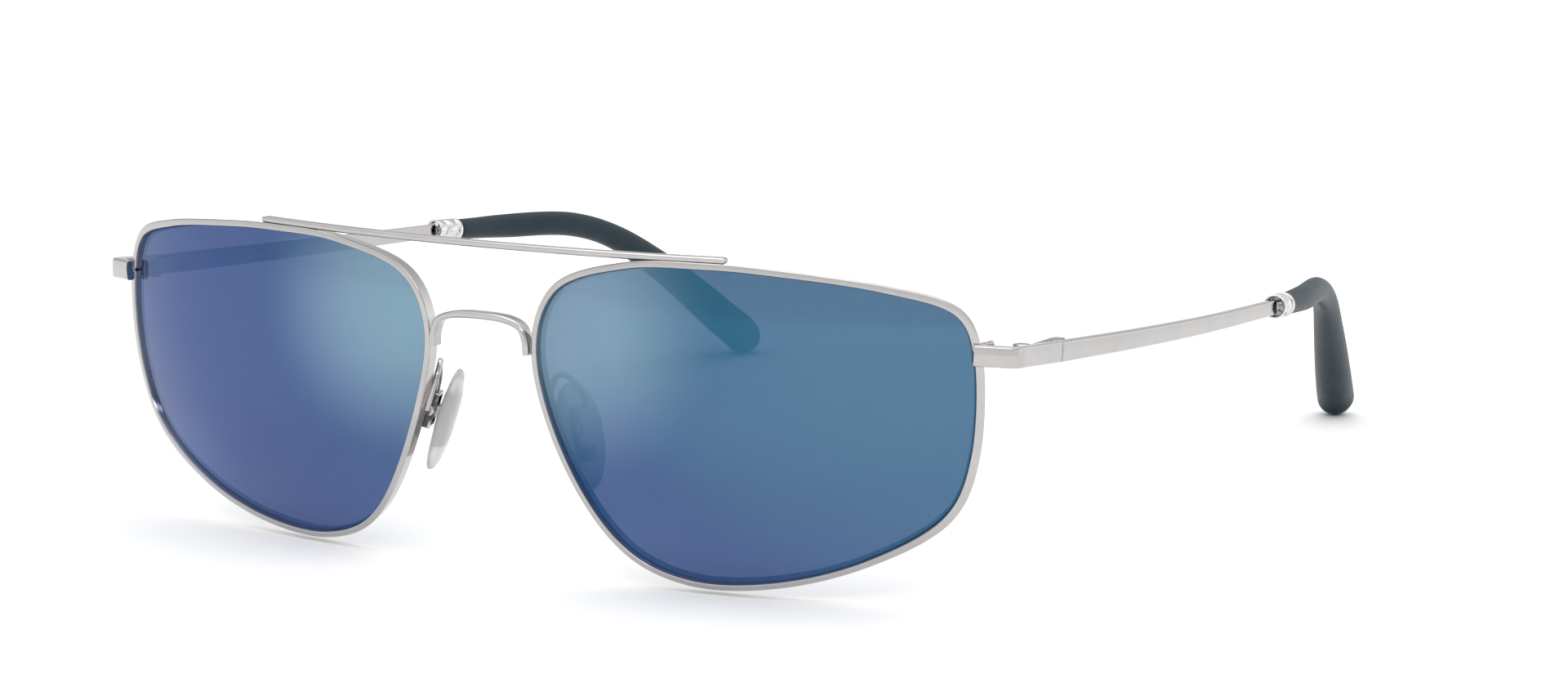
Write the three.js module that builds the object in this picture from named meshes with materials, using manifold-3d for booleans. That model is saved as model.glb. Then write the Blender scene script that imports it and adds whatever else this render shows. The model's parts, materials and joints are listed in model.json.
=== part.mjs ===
// Metal-framed navigator sunglasses with a double bridge, as an assembly of separate pieces.
// Millimetres. X runs across the face (+X is the wearer's left), Y runs back towards the ears
// and Z is up. The pieces are laid out from the middle of the front, level with the lens
// centres, and the finished assembly is then stood on its lowest points.

import * as THREE from 'three';
import { mergeVertices } from 'three/addons/utils/BufferGeometryUtils.js';
import Module from 'manifold-3d';

const wasm = await Module();
wasm.setup();

// ---------- driving dimensions ----------

const GAP = 0.04; // clearance between soldered or seated faces
const RUN_GAP = 0.06; // clearance round a screw or a moving knuckle

// The rim's front edge lies on a sphere, tilted and wrapped towards the temple. The lens is a
// shell cut from spheres round the same centre, set back in the rim.
const RIM_RADIUS = 81.15;
const LENS_SETBACK = 0.6;
const LENS_THICKNESS = 1.8;
const LENS_SPHERE = new THREE.Vector3(21.32, RIM_RADIUS, 8.99);
const LENS_MIDDLE = new THREE.Vector2(37.1, 0);

// Lens opening, front view (X, Z), starting at the closing block on the temple side.
const LENS_OUTLINE = [
  [65.3, 11.1], [63.3, 15.8], [55.2, 18.6], [41.3, 20.3], [32.8, 20.6],
  [22.2, 20.0], [11.7, 16.3], [8.6, 9.1], [12.9, -6.7], [20.2, -17.2],
  [28.1, -20.4], [39.6, -19.9], [51.9, -16.1], [61.5, -9.8], [64.8, -2.1],
];
const RIM_SEGMENTS = 60;
const RIM_WIDTH = 0.85;
const RIM_WIDENING = 0.3; // extra width at the temple side, as a share of RIM_WIDTH
const RIM_DEPTH = 2.4;
const RIM_SPLIT = 0.12; // slit between the rim's two ends, at the closing block
const GROOVE_DEPTH = 0.35;
const GROOVE_TOP = -0.9;
const GROOVE_BOTTOM = -1.7;

// Brow bar, one bowed strip along the tops of the rims.
const BROW_HALF_SPAN = 35.7;
const BROW_BOW = 3.0;
const BROW_Y = 0.4;
const BROW_Z = 21.6;
const BROW_LIFT = 0.12; // rise of the bar's ends
const BROW_HEIGHT = 0.84;
const BROW_DEPTH = 1.4;

// Nose bridge, one arched strip between the rims.
const BRIDGE_DEPTH = 1.9;
const BRIDGE_HEIGHT = 0.9;
const BRIDGE_Y = 1.5;

// End piece, closing block and hinge, at the temple side of the rim.
const STRIP_THICKNESS = 1.0;
const STRIP_HEIGHT = 2.7;
const END_PIECE_Z = 11.08; // height of its front end's middle
const JOINT_Z = 9.72; // height of the strip's middle where it meets the temple
const JOINT_Y = 26.85; // where the end piece and the temple meet
const HINGE = new THREE.Vector3(67.85, 21.0, 10.15);
const HINGE_RADIUS = 1.12;
const HINGE_HEIGHT = 2.4;
const HINGE_MIDDLE = 1.2;
const HINGE_SCREW_RADIUS = 0.5;
const HINGE_HEAD_RADIUS = 0.82;
const HINGE_SINK = 0.25; // depth of the recess round the hinge screw's head
const LEAF_INNER = 69.05; // inner face of the front leaf's plate
const FRONT_LEAF_Y = [18.2, 24.6];
const ARM_OUTER = 68.97; // outer face of the rear leaf's arm
const REAR_LEAF_OUTER = 69.51; // the face soldered to the temple bar
const REAR_LEAF_END = 29.8;
const REAR_LEAF_HEIGHT = 2.0;
const REAR_LEAF_DROP = 0.15; // the rear leaf's middle is this far below the hinge's
const LOCK_SCREW_RADIUS = 0.42;
const LOCK_HEAD_RADIUS = 0.55;
const LOCK_SEAT = [0.62, 0.35]; // radius and depth of the recess for the screw's head
const LOCK_INNER = RIM_WIDTH * (1 + RIM_WIDENING) + GAP;
const LOCK_OUTER = 2.85;
const LOCK_REAR = 2.3;
const LOCK_HALF_HEIGHT = 0.9;
const LOCK_SCREW_AT = [2.0, 1.5];

// Temple bar, collar and tip.
const BAR_END_Y = 92.9;
const BAR_THICKNESS = 1.2;
const BAR_HEIGHT = 2.75;
const BAR_TAPER = [0.08, 0.25]; // share of thickness and height lost at the rear
const STUB = [0.8, 2.2, 1.3]; // neck between the bar and its core wire
const CORE_RADIUS = 0.6;
const CORE_END_Y = 150;
const RING_RADIUS = 1.65;
const RING_BORE = 1.38;
const RING_Y = [93.1, 94.2, 94.6]; // mouth, floor and back of the cup
const FERRULE_Y = [94.65, 98.0];
const FLANGE_RADIUS = 1.76;
const TIP_Y = 98.1;
const TIP_RADIUS = 1.6; // at the flange; it thickens towards the end
const TIP_END_ROUND = 2.9;

// Nose pad, its box and its arm.
const PAD_CENTRE = new THREE.Vector3(10.8, 8.63, -3.75);
const PAD_SPLAY = 22;
const PAD_LEAN = 18;
const PAD_HALF_HEIGHT = 7.1;
const PAD_HALF_WIDTH = 3.5;
const PAD_FACE = 1.5;
const PAD_BACK = 0.9;
const BOX_MIDDLE = 0.8; // height of the pad screw above the pad's centre
const SCREW_DEPTH = 1.9; // distance of the pad screw behind the pad's centre
const PAD_SCREW_RADIUS = 0.4;
const PAD_HEAD_RADIUS = 0.62;
const PLATE = [3.0, 7.2, 0.5]; // the metal core's plate
const PLATE_DEPTH = 0.1;
const BOSS_SIDE = 1.6;
const BOSS_END = SCREW_DEPTH + 0.35;
const PAD_BOX = { width: 3.0, height: 4.9, front: 1.35, back: 2.75, wall: 0.35 };
const ARM_RADIUS = 0.4;

// ---------- materials ----------

const metal = (color, roughness) => new THREE.MeshStandardMaterial({ color, roughness, metalness: 1 });
const plastic = (color, roughness) => new THREE.MeshStandardMaterial({ color, roughness, metalness: 0 });
const satinSilver = metal(0xc9c5c2, 0.34);
const polishedSilver = metal(0xdcdada, 0.14);
const hingeSteel = metal(0x9c9a99, 0.3);
const screwSteel = metal(0xb4b2b0, 0.25);
const mirrorBlue = new THREE.MeshStandardMaterial({
  color: 0x5c7f9c, roughness: 0.06, metalness: 0.85, transparent: true, opacity: 0.9,
});
const clearSilicone = new THREE.MeshStandardMaterial({
  color: 0xdedad8, roughness: 0.2, metalness: 0, transparent: true, opacity: 0.6,
});
const slateRubber = plastic(0x3c4c55, 0.55);

// ---------- geometry helpers ----------

const vec = (x, y, z) => new THREE.Vector3(x, y, z);
const UP = vec(0, 0, 1);

// A closed body through rings of points, with flat ends cut to the profile unless the rings
// close on themselves. A ring shrunk to one point leaves no sliver triangles behind.
function loft(rings, closed, profile) {
  const count = rings[0].length;
  const positions = rings.flat().flatMap((p) => [p.x, p.y, p.z]);
  const index = [];
  const addTriangle = (a, b, c) => {
    const [p, q, r] = [a, b, c].map((i) => vec(...positions.slice(3 * i, 3 * i + 3)));
    if (p.distanceTo(q) > 1e-6 && q.distanceTo(r) > 1e-6 && r.distanceTo(p) > 1e-6) index.push(a, b, c);
  };
  const spans = closed ? rings.length : rings.length - 1;
  for (let i = 0; i < spans; i += 1) {
    const here = i * count;
    const next = ((i + 1) % rings.length) * count;
    for (let j = 0; j < count; j += 1) {
      const k = (j + 1) % count;
      addTriangle(here + j, here + k, next + k);
      addTriangle(here + j, next + k, next + j);
    }
  }
  if (!closed && profile) {
    const last = (rings.length - 1) * count;
    const clockwise = THREE.ShapeUtils.isClockWise(profile);
    for (const corners of THREE.ShapeUtils.triangulateShape(profile, [])) {
      const [a, b, c] = clockwise ? corners.reverse() : corners;
      addTriangle(c, b, a);
      addTriangle(last + a, last + b, last + c);
    }
  }
  const geometry = new THREE.BufferGeometry();
  geometry.setAttribute('position', new THREE.Float32BufferAttribute(positions, 3));
  geometry.setIndex(index);
  return outward(geometry);
}

// Turns a closed body the right way out when its faces were wound inwards.
function outward(geometry) {
  const merged = weld(geometry);
  const p = merged.getAttribute('position');
  const index = merged.getIndex();
  let volume = 0;
  for (let i = 0; i < index.count; i += 3) {
    const [a, b, c] = [0, 1, 2].map((k) => vec(0, 0, 0).fromBufferAttribute(p, index.getX(i + k)));
    volume += a.dot(b.cross(c));
  }
  return volume < 0 ? flip(merged) : merged;
}

function flip(geometry) {
  const index = geometry.getIndex();
  for (let i = 0; i < index.count; i += 3) {
    const first = index.getX(i);
    index.setX(i, index.getX(i + 2));
    index.setX(i + 2, first);
  }
  return geometry;
}

function weld(geometry) {
  const bare = geometry.clone();
  for (const name of Object.keys(bare.attributes)) {
    if (name !== 'position') bare.deleteAttribute(name);
  }
  return mergeVertices(bare, 1e-5);
}

// Rings of a profile carried along frames {origin, x, y, scaleX, scaleY}.
function sweep(profile, frames, closed = false) {
  const rings = frames.map(({ origin, x, y, scaleX = 1, scaleY = 1 }) => profile.map((p) => origin
    .clone()
    .addScaledVector(x, p.x * scaleX)
    .addScaledVector(y, p.y * scaleY)));
  return loft(rings, closed, profile);
}

// Frames along a curve whose sections stay upright: x points sideways and y up.
function uprightFrames(curve, steps, scale = () => [1, 1]) {
  return Array.from({ length: steps + 1 }, (_, i) => {
    const u = i / steps;
    const tangent = curve.getTangentAt(u);
    const x = tangent.clone().cross(UP).normalize();
    const y = x.clone().cross(tangent).normalize();
    const [scaleX, scaleY] = scale(u);
    return { origin: curve.getPointAt(u), x, y, scaleX, scaleY };
  });
}

function oval(halfWidth, halfHeight, sides) {
  return Array.from({ length: sides }, (_, i) => {
    const angle = (2 * Math.PI * i) / sides;
    return new THREE.Vector2(halfWidth * Math.cos(angle), halfHeight * Math.sin(angle));
  });
}

// A rectangle with chamfered corners, centred on the origin.
function chamfered(width, height, chamfer) {
  const [w, h] = [width / 2, height / 2];
  const corners = [
    [w - chamfer, -h], [w, chamfer - h], [w, h - chamfer], [w - chamfer, h],
    [chamfer - w, h], [-w, h - chamfer], [-w, chamfer - h], [chamfer - w, -h],
  ];
  return corners.map(([x, y]) => new THREE.Vector2(x, y));
}

function box(size, centre) {
  return new THREE.BoxGeometry(...size).translate(...centre);
}

// A cylinder along Z.
function post(radius, low, high, sides = 12) {
  return new THREE.CylinderGeometry(radius, radius, high - low, sides)
    .rotateX(Math.PI / 2)
    .translate(0, 0, (low + high) / 2);
}

// A slotted screw along Z with its head at the top, from a turned profile.
function slottedScrew(radius, headRadius, headHeight, length, slot) {
  const top = headHeight;
  const profile = [
    [0, -length], [radius * 0.7, -length], [radius, -length + radius * 0.3], [radius, 0],
    [headRadius, 0], [headRadius, top * 0.6], [headRadius * 0.8, top], [0, top],
  ].map(([r, z]) => new THREE.Vector2(r, z));
  const turned = new THREE.LatheGeometry(profile, 12).rotateX(Math.PI / 2);
  const groove = box([headRadius * 3, slot, top], [0, 0, top * 0.95]);
  return cut(outward(turned), groove);
}

// ---------- booleans ----------

function toSolid(geometry) {
  const bare = weld(geometry);
  return new wasm.Manifold(new wasm.Mesh({
    numProp: 3,
    vertProperties: Float32Array.from(bare.getAttribute('position').array),
    triVerts: Uint32Array.from(bare.getIndex().array),
  }));
}

function fromSolid(solid) {
  const mesh = solid.getMesh();
  const geometry = new THREE.BufferGeometry();
  const positions = [];
  for (let i = 0; i < mesh.vertProperties.length; i += mesh.numProp) {
    positions.push(...mesh.vertProperties.slice(i, i + 3));
  }
  geometry.setAttribute('position', new THREE.Float32BufferAttribute(positions, 3));
  geometry.setIndex(Array.from(mesh.triVerts));
  return geometry;
}

function cut(body, ...tools) {
  return fromSolid(tools.reduce((solid, tool) => solid.subtract(toSolid(tool)), toSolid(body)));
}

function join(...bodies) {
  return fromSolid(bodies.map(toSolid).reduce((all, solid) => all.add(solid)));
}

// ---------- lens and rim ----------

const outline = new THREE.CatmullRomCurve3(
  LENS_OUTLINE.map(([x, z]) => vec(x, 0, z)),
  true,
  'centripetal',
);
outline.arcLengthDivisions = 1200;

// The point of the rim's front edge behind a front-view point.
function onRimFront({ x, z }) {
  const depth = Math.sqrt(RIM_RADIUS ** 2 - (x - LENS_SPHERE.x) ** 2 - (z - LENS_SPHERE.z) ** 2);
  return vec(x, LENS_SPHERE.y - depth, z);
}

// Moves a point straight in or out to a sphere round the lens centre.
function toRadius(point, radius) {
  return point.clone().sub(LENS_SPHERE).setLength(radius).add(LENS_SPHERE);
}

// The frame of the rim's section: x away from the lens, y forwards along the sphere's radius.
// The rim grows wider towards the temple.
function rimFrame(u) {
  const step = 0.002;
  const origin = onRimFront(outline.getPointAt((u + 1) % 1));
  const ahead = onRimFront(outline.getPointAt((u + step + 1) % 1));
  const behind = onRimFront(outline.getPointAt((u - step + 1) % 1));
  const tangent = ahead.sub(behind).normalize();
  const x = tangent.clone().cross(origin.clone().sub(LENS_SPHERE)).normalize();
  const y = x.clone().cross(tangent).normalize();
  return { origin, x, y, scaleX: 1 + RIM_WIDENING * THREE.MathUtils.smoothstep(origin.x, 48, 64) };
}

// Frames round the whole opening, which the rim and the lens edge share.
const openingFrames = Array.from({ length: RIM_SEGMENTS }, (_, i) => rimFrame(i / RIM_SEGMENTS));

// The same frames, opened by the slit at their start.
function slitFrames() {
  const start = RIM_SPLIT / 2 / outline.getLength();
  return [rimFrame(start), ...openingFrames.slice(1), rimFrame(1 - start)];
}

function rimProfile(grow, groove) {
  const [inner, outer] = [-grow, RIM_WIDTH + grow];
  const [front, rear] = [grow, -RIM_DEPTH - grow];
  const bevel = 0.12;
  const points = [
    [inner + bevel, front], [outer - bevel, front], [outer, front - bevel],
    [outer, rear + bevel], [outer - bevel, rear], [inner, rear],
  ];
  if (groove) {
    const middle = (GROOVE_TOP + GROOVE_BOTTOM) / 2;
    points.push([inner, GROOVE_BOTTOM], [GROOVE_DEPTH, middle], [inner, GROOVE_TOP]);
  }
  points.push([inner, front - bevel]);
  return points.map(([x, y]) => new THREE.Vector2(x, y));
}

// An open ring of wire whose groove holds the lens and whose ends meet at the closing block.
function makeRim() {
  return sweep(rimProfile(0, true), slitFrames());
}

// The space the rim takes, which its neighbours are fitted to.
function rimSpace() {
  return sweep(rimProfile(GAP, false), openingFrames, true);
}

function makeLens() {
  const seat = -GAP;
  const middle = (GROOVE_TOP + GROOVE_BOTTOM) / 2;
  const edge = [
    [seat, -LENS_SETBACK], [seat, GROOVE_TOP - GAP],
    [GROOVE_DEPTH - 1.8 * GAP, middle], [seat, GROOVE_BOTTOM + GAP],
  ];
  const edgeRings = edge.map(([across, along]) => openingFrames.map(({ origin, x, y }) => origin
    .clone()
    .addScaledVector(x, across)
    .addScaledVector(y, along)));
  const rimRing = edgeRings[0];
  const centre = onRimFront({ x: LENS_MIDDLE.x, z: LENS_MIDDLE.y });
  const faceRadius = RIM_RADIUS - LENS_SETBACK;
  const shrink = [0.66, 0.33, 0];
  const faceRing = (scale, radius) => rimRing.map((p) => toRadius(centre.clone().lerp(p, scale), radius));
  const front = [...shrink].reverse().map((scale) => faceRing(scale, faceRadius));
  const back = [1, ...shrink].map((scale) => faceRing(scale, faceRadius - LENS_THICKNESS));
  return loft([...front, ...edgeRings, ...back], false, null);
}

// ---------- brow bar and nose bridge ----------

function makeBrowBar() {
  const steps = 25;
  const endRound = 0.7;
  const frames = Array.from({ length: steps + 1 }, (_, i) => {
    const x = BROW_HALF_SPAN * Math.cos((Math.PI * i) / steps);
    const away = (x / BROW_HALF_SPAN) ** 2;
    const slope = (2 * BROW_BOW * x) / BROW_HALF_SPAN ** 2;
    const back = vec(-slope, 1, 0).normalize();
    const inset = Math.max(0, Math.abs(x) - BROW_HALF_SPAN + endRound) / endRound;
    const scale = 1 - 0.35 * inset ** 2;
    const origin = vec(x, BROW_Y + BROW_BOW * away, BROW_Z + BROW_LIFT * away);
    return { origin, x: back, y: UP, scaleX: scale, scaleY: scale };
  });
  return cut(sweep(chamfered(BROW_DEPTH, BROW_HEIGHT, 0.2), frames), ...sides(rimSpace()));
}

function makeBridge() {
  const arch = new THREE.CatmullRomCurve3([
    vec(-7.2, 0, 7.6), vec(-7.05, 0, 9.4), vec(-6.3, 0, 11.05), vec(-4.5, 0, 11.85), vec(0, 0, 12.15),
    vec(4.5, 0, 11.85), vec(6.3, 0, 11.05), vec(7.05, 0, 9.4), vec(7.2, 0, 7.6),
  ], false, 'centripetal');
  const steps = 26;
  const frames = Array.from({ length: steps + 1 }, (_, i) => {
    const u = i / steps;
    const tangent = arch.getTangentAt(u);
    const back = vec(0, 1, 0);
    const origin = arch.getPointAt(u).setY(BRIDGE_Y);
    return { origin, x: back, y: tangent.clone().cross(back).normalize() };
  });
  return cut(sweep(chamfered(BRIDGE_DEPTH, BRIDGE_HEIGHT, 0.22), frames), ...sides(rimSpace()));
}

// ---------- end piece and closing block ----------

// The strip's outer face has a ridge a little above its middle.
function stripProfile(thickness, height, grow = 0) {
  const [w, h] = [thickness / 2 + grow, height / 2 + grow];
  const points = [
    [-w, -h], [w * 0.5, -h], [w * 0.86, 0.2 - h], [w, h * 0.12],
    [w * 0.8, h - 0.22], [w * 0.5, h], [-w, h],
  ];
  return points.map(([x, y]) => new THREE.Vector2(x, y));
}

const stripPath = new THREE.CurvePath();
const bendStart = vec(69.6, 14.5, 10.85);
const bendCorner = vec(70.35, 14.95, 10.8);
const bendEnd = vec(70.42, 15.9, 10.75);
stripPath.add(new THREE.LineCurve3(vec(65.6, 12.4, END_PIECE_Z), bendStart));
stripPath.add(new THREE.QuadraticBezierCurve3(bendStart, bendCorner, bendEnd));
stripPath.add(new THREE.LineCurve3(bendEnd, vec(70.2, JOINT_Y - GAP, JOINT_Z)));

function endPieceStrip(grow = 0) {
  const frames = uprightFrames(stripPath, 30);
  return sweep(stripProfile(STRIP_THICKNESS, STRIP_HEIGHT, grow), frames);
}

function makeEndPiece() {
  return cut(endPieceStrip(), rimSpace());
}

// The closing block sits against the rim's ends, behind the strip, with one half on each side
// of the slit; a screw up through both halves draws them together.
const lockFrame = rimFrame(0);
const lockMatrix = new THREE.Matrix4()
  .makeBasis(lockFrame.x, lockFrame.y.clone().negate(), lockFrame.x.clone().cross(lockFrame.y).negate())
  .setPosition(lockFrame.origin);

function lockHalf(low, high) {
  const plan = new THREE.Shape([
    [LOCK_INNER, 0.3], [LOCK_OUTER, 0.84], [LOCK_OUTER, LOCK_REAR], [LOCK_INNER, LOCK_REAR],
  ].map(([x, y]) => new THREE.Vector2(x, y)));
  const block = new THREE.ExtrudeGeometry(plan, { depth: high - low, bevelEnabled: false });
  block.translate(0, 0, low);
  const hole = post(LOCK_SCREW_RADIUS + RUN_GAP, low - 1, high + 1).translate(...LOCK_SCREW_AT, 0);
  return cut(block, hole);
}

function makeLockUpper() {
  return cut(lockHalf(GAP, LOCK_HALF_HEIGHT).applyMatrix4(lockMatrix), endPieceStrip(GAP), rimSpace());
}

function makeLockLower() {
  const [radius, depth] = LOCK_SEAT;
  const seat = post(radius, -LOCK_HALF_HEIGHT - 1, depth - LOCK_HALF_HEIGHT).translate(...LOCK_SCREW_AT, 0);
  const half = cut(lockHalf(-LOCK_HALF_HEIGHT, -GAP), seat);
  return cut(half.applyMatrix4(lockMatrix), endPieceStrip(GAP), rimSpace());
}

function makeLockScrew() {
  return slottedScrew(LOCK_SCREW_RADIUS, LOCK_HEAD_RADIUS, 0.3, 1.35, 0.18)
    .rotateX(Math.PI)
    .translate(...LOCK_SCREW_AT, 0.3 - LOCK_HALF_HEIGHT)
    .applyMatrix4(lockMatrix);
}

// ---------- hinge ----------

const LEAF_OUTER = 70.2 - STRIP_THICKNESS / 2 - GAP;
const hingeScrewHole = () => post(HINGE_SCREW_RADIUS + RUN_GAP, -5, 5).translate(HINGE.x, HINGE.y, HINGE.z);

function knuckle(low, high) {
  return post(HINGE_RADIUS, low, high, 16).translate(HINGE.x, HINGE.y, HINGE.z);
}

// A leaf soldered inside the end piece, ending in the upper and lower knuckles.
function makeFrontLeaf() {
  const half = HINGE_HEIGHT / 2;
  const [front, rear] = FRONT_LEAF_Y;
  const plate = box([LEAF_OUTER - LEAF_INNER, rear - front, HINGE_HEIGHT], [
    (LEAF_OUTER + LEAF_INNER) / 2, (front + rear) / 2, HINGE.z,
  ]);
  const web = box([LEAF_INNER - HINGE.x + 0.1, 1.9, HINGE_HEIGHT], [
    (LEAF_INNER + HINGE.x + 0.1) / 2, HINGE.y - 0.1, HINGE.z,
  ]);
  const slot = box([4, 20, HINGE_MIDDLE + 2 * RUN_GAP], [LEAF_INNER - 2.02, HINGE.y, HINGE.z]);
  const sink = post(HINGE_HEAD_RADIUS + 0.08, half - HINGE_SINK, half + 1, 16)
    .translate(HINGE.x, HINGE.y, HINGE.z);
  return cut(join(plate, web, knuckle(-half, half)), slot, sink, hingeScrewHole());
}

// A leaf soldered inside the temple, reaching forward to the middle knuckle. The rear end of its
// inner side is bevelled.
function makeRearLeaf() {
  const half = HINGE_MIDDLE / 2;
  const inner = HINGE.x + 0.1;
  const armStart = HINGE.y + HINGE_RADIUS + 0.35;
  const plateStart = JOINT_Y + 0.15;
  const z = HINGE.z - REAR_LEAF_DROP;
  const neck = box([ARM_OUTER - inner, 3, HINGE_MIDDLE], [(inner + ARM_OUTER) / 2, HINGE.y + 1.5, HINGE.z]);
  const arm = box([ARM_OUTER - inner, REAR_LEAF_END - armStart, REAR_LEAF_HEIGHT], [
    (inner + ARM_OUTER) / 2, (armStart + REAR_LEAF_END) / 2, z,
  ]);
  const plate = box([REAR_LEAF_OUTER - inner, REAR_LEAF_END - plateStart, REAR_LEAF_HEIGHT], [
    (REAR_LEAF_OUTER + inner) / 2, (plateStart + REAR_LEAF_END) / 2, z,
  ]);
  const bevel = box([3, 6, 4], [0, 0, 0]).rotateZ(-0.5).translate(inner - 1.2, REAR_LEAF_END + 0.2, z);
  return cut(join(knuckle(-half, half), neck, arm, plate), bevel, hingeScrewHole());
}

function makeHingeScrew() {
  return slottedScrew(HINGE_SCREW_RADIUS, HINGE_HEAD_RADIUS, 0.3, HINGE_HEIGHT - 0.15, 0.2)
    .translate(HINGE.x, HINGE.y, HINGE.z + HINGE_HEIGHT / 2 - HINGE_SINK + GAP);
}

// ---------- temple bar, collar and tip ----------

const barPath = new THREE.CatmullRomCurve3([
  vec(70.15, JOINT_Y + GAP, JOINT_Z), vec(70.95, 48, 8.24),
  vec(71.15, 70, 6.85), vec(70.5, BAR_END_Y, 5.65),
], false, 'centripetal');

const tipPath = new THREE.CatmullRomCurve3([
  vec(70.55, 93, 5.72), vec(69.7, TIP_Y, 5.25), vec(68.15, 108.4, 4.55),
  vec(64.4, 122.7, 3.26), vec(61.9, 131.4, 0.32), vec(58.6, 141, -5.85),
  vec(54.75, 152.4, -15.1), vec(53.15, 157.3, -19.15), vec(52.9, 158.9, -21.6),
], false, 'centripetal');
tipPath.arcLengthDivisions = 600;

// Distance along the tip's path at which it reaches a depth.
function tipParameter(y) {
  let [low, high] = [0, 1];
  for (let i = 0; i < 40; i += 1) {
    const middle = (low + high) / 2;
    if (tipPath.getPointAt(middle).y < y) low = middle;
    else high = middle;
  }
  return low;
}

// A stretch of the tip's path, as a curve of its own.
function pathPart(from, to) {
  const at = (u) => Math.min(1, from + (to - from) * u);
  return { getPointAt: (u) => tipPath.getPointAt(at(u)), getTangentAt: (u) => tipPath.getTangentAt(at(u)) };
}

function coreWire(radius, toY) {
  return sweep(oval(radius, radius, 8), uprightFrames(pathPart(0, tipParameter(toY)), 24));
}

// The flat bar and the round core wire behind it are one forging.
function makeTempleBar() {
  const taper = (u) => BAR_TAPER.map((loss) => 1 - loss * u);
  const bar = sweep(stripProfile(BAR_THICKNESS, BAR_HEIGHT), uprightFrames(barPath, 20, taper));
  const core = coreWire(CORE_RADIUS, CORE_END_Y);
  const stub = box(STUB, [70.45, BAR_END_Y + 0.1, 5.66]);
  return join(bar, stub, core);
}

function coreBore(toY) {
  return coreWire(CORE_RADIUS + RUN_GAP, toY);
}

// Turned pieces on the line of the core wire, from a profile of [distance back, radius].
const collarMiddle = tipParameter((FERRULE_Y[0] + FERRULE_Y[1]) / 2);
const [collarFrame] = uprightFrames(pathPart(collarMiddle, collarMiddle + 0.001), 1);

function turned(profile, faces) {
  const points = profile.map(([y, r]) => new THREE.Vector2(r, y - collarFrame.origin.y));
  const along = collarFrame.y.clone().cross(collarFrame.x);
  const place = new THREE.Matrix4().makeBasis(collarFrame.x, along, collarFrame.y);
  place.setPosition(collarFrame.origin);
  return outward(new THREE.LatheGeometry(points, faces).applyMatrix4(place));
}

// A cup round the end of the bar, open to the front.
function makeCollarRing() {
  const [front, floor, rear] = RING_Y;
  const bevel = 0.12;
  const cup = turned([
    [floor, 0], [floor, RING_BORE], [front, RING_BORE], [front, RING_RADIUS - bevel],
    [front + bevel, RING_RADIUS], [rear, RING_RADIUS], [rear, 0],
  ], 24);
  return cut(cup, coreBore(96));
}

// The collar's body, with a groove in front of the flange that the tip butts against.
function makeFerrule() {
  const [front, rear] = FERRULE_Y;
  const [groove, flange] = [rear - 1.1, rear - 0.8];
  const body = turned([
    [front, 0], [front, RING_RADIUS], [groove, FLANGE_RADIUS - 0.06], [groove, FLANGE_RADIUS - 0.25],
    [flange, FLANGE_RADIUS - 0.25], [flange, FLANGE_RADIUS], [rear - 0.1, FLANGE_RADIUS],
    [rear, FLANGE_RADIUS - 0.1], [rear, 0],
  ], 24);
  return cut(body, coreBore(101));
}

// A soft sleeve that thickens from the flange to its round end.
function makeTip() {
  const length = tipPath.getLength();
  const from = tipParameter(TIP_Y + 0.02);
  const endRound = TIP_END_ROUND / length;
  const bodySteps = 24;
  const endSteps = 6;
  const stations = Array.from({ length: bodySteps }, (_, i) => (
    from + (i / bodySteps) * (1 - from - endRound)
  ));
  for (let i = 0; i <= endSteps; i += 1) {
    stations.push(1 - endRound * (1 - Math.sin((i / endSteps) * (Math.PI / 2))));
  }
  const smooth = THREE.MathUtils.smoothstep;
  const frames = stations.map((u) => {
    const tangent = tipPath.getTangentAt(u);
    const x = tangent.clone().cross(UP).normalize();
    const y = x.clone().cross(tangent).normalize();
    const origin = tipPath.getPointAt(u);
    const roundOff = Math.sqrt(Math.max(0, 1 - (Math.max(0, u - 1 + endRound) / endRound) ** 2));
    const close = Math.max(roundOff, 0.12);
    const end = smooth(origin.y, 127, 158);
    const halfWidth = TIP_RADIUS + 0.17 * smooth(origin.y, 100, 124) + 1.05 * end;
    const halfHeight = TIP_RADIUS + 0.3 * smooth(origin.y, 99, 113) + 1.15 * end;
    return { origin, x, y, scaleX: halfWidth * close, scaleY: halfHeight * close };
  });
  return cut(sweep(oval(1, 1, 14), frames), coreBore(CORE_END_Y + 0.5));
}

// ---------- nose pad ----------

// Pad axes: x along the pad's width (backwards), y along its height, z towards the rim.
function padMatrix() {
  const splay = THREE.MathUtils.degToRad(PAD_SPLAY);
  const lean = THREE.MathUtils.degToRad(PAD_LEAN);
  const width = vec(Math.sin(splay), Math.cos(splay), 0);
  const aside = vec(Math.cos(splay), -Math.sin(splay), 0);
  const height = UP.clone().multiplyScalar(Math.cos(lean)).addScaledVector(aside, -Math.sin(lean));
  const normal = aside.clone().multiplyScalar(Math.cos(lean)).addScaledVector(UP, Math.sin(lean));
  return new THREE.Matrix4().makeBasis(width, height, normal).setPosition(PAD_CENTRE);
}

function padCoreBody(grow) {
  const plate = box(PLATE.map((size) => size + 2 * grow), [0, BOX_MIDDLE - 0.6, PLATE_DEPTH]);
  const length = BOSS_END - PLATE_DEPTH;
  const side = BOSS_SIDE + 2 * grow;
  const boss = box([side, side, length], [0, BOX_MIDDLE, PLATE_DEPTH + length / 2]);
  return join(plate, boss);
}

// The hole for the pad screw, along the pad's width.
function padScrewHole() {
  return post(PAD_SCREW_RADIUS + RUN_GAP, -3, 3, 16)
    .rotateY(Math.PI / 2)
    .translate(0, BOX_MIDDLE, SCREW_DEPTH);
}

// The metal core that the silicone is moulded round, with a boss for the pad screw.
function makePadCore() {
  return cut(padCoreBody(0), padScrewHole()).applyMatrix4(padMatrix());
}

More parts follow.
